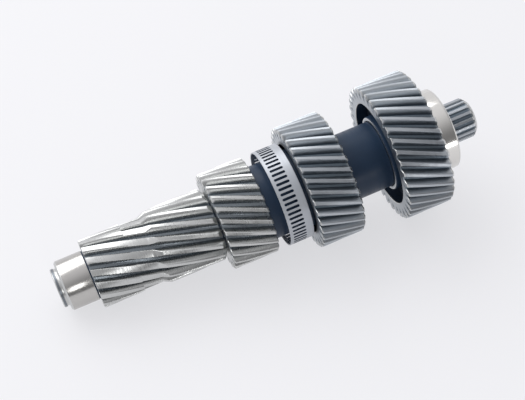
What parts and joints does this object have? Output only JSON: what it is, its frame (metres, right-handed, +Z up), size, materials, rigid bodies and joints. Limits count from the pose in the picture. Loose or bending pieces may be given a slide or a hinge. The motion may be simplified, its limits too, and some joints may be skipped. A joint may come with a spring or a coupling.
{
  "type": "gearbox countershaft",
  "caption": "Truck gearbox countershaft: turned shaft with helical pinions cut on it, two pressed-on helical gears, a slotted pulse ring, a bearing ring and a splined tail.",
  "frame": {"origin": "middle of the bounding box, on the surface that the shaft lies on", "axes": "+X from the spigot towards the splined tail along the surface, +Z up, +Y away from a viewer who has the spigot on the left"},
  "size_m": [0.5268, 0.166, 0.1773],
  "materials": {
    "shaft_steel": "case-hardened and partly ground steel, dark in the tooth gaps and bright on the ground faces",
    "gear_steel": "case-hardened steel with ground tooth flanks and dark unground recesses",
    "sheet_steel": "pressed bright sheet steel",
    "bearing_steel": "finely ground bearing steel"
  },
  "bodies": {
    "root": {"countershaft": "shaft_steel", "slotted_pulse_ring": "sheet_steel", "small_gear": "gear_steel", "large_gear": "gear_steel", "bearing_inner_ring": "bearing_steel"}
  },
  "joints": []
}
